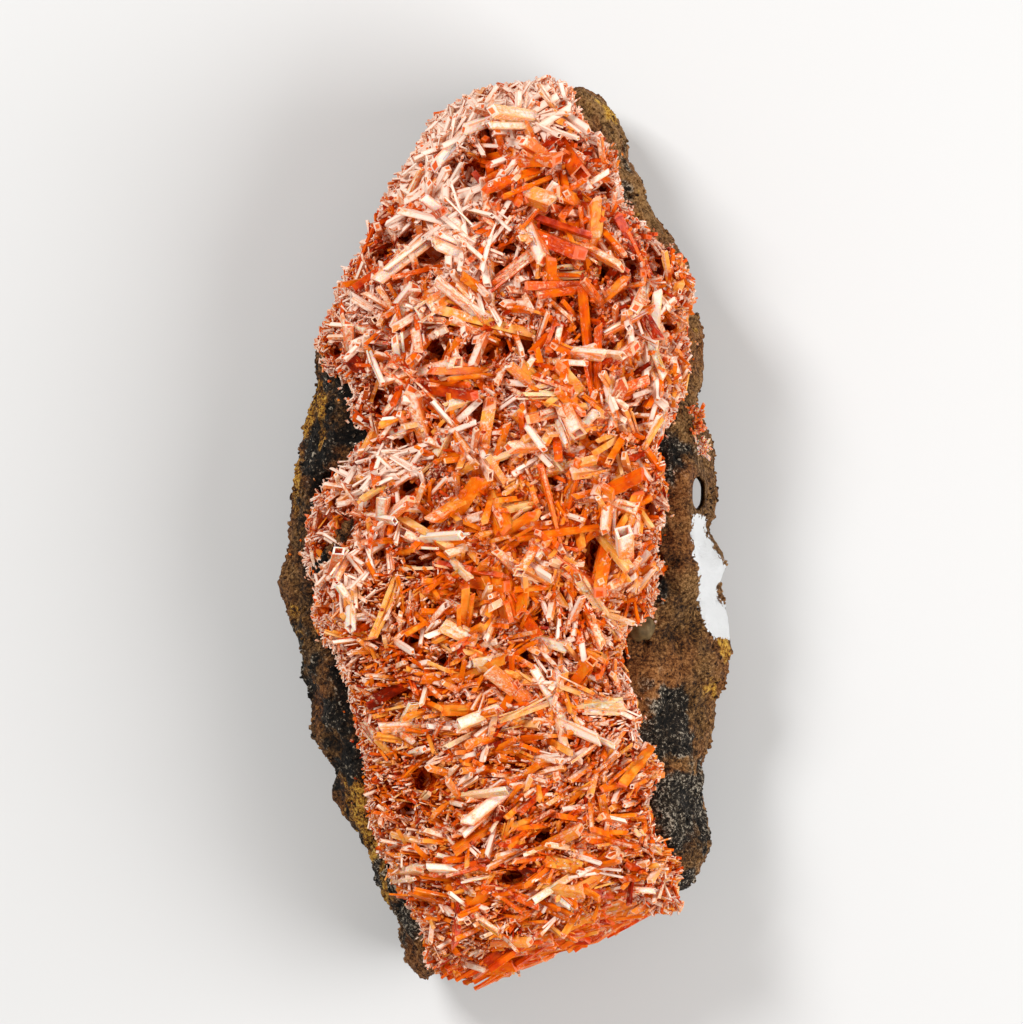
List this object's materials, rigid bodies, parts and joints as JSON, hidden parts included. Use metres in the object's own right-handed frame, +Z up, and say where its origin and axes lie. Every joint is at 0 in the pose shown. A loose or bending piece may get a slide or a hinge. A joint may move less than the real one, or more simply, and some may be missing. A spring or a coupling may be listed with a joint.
{
  "type": "crocoite crystal specimen",
  "caption": "Long rough slab of brown gossan lying on its flat back, its hollow top filled with a tangled mass of orange crocoite prisms.",
  "frame": {"origin": "middle of the flat back that the specimen lies on", "axes": "+X across the slab to its right side, +Y along the slab towards its pale end, +Z up out of the crystals"},
  "size_m": [0.0999, 0.1995, 0.0643],
  "materials": {
    "crocoite": "glossy crystal faces, pale frosty tops and orange-red flanks",
    "gossan": "rough granular iron-stained rock with ochre and black patches"
  },
  "bodies": {
    "root": {"gossan_matrix": "gossan", "crocoite_crystals": "crocoite", "rim_crystals": "crocoite"}
  },
  "joints": []
}
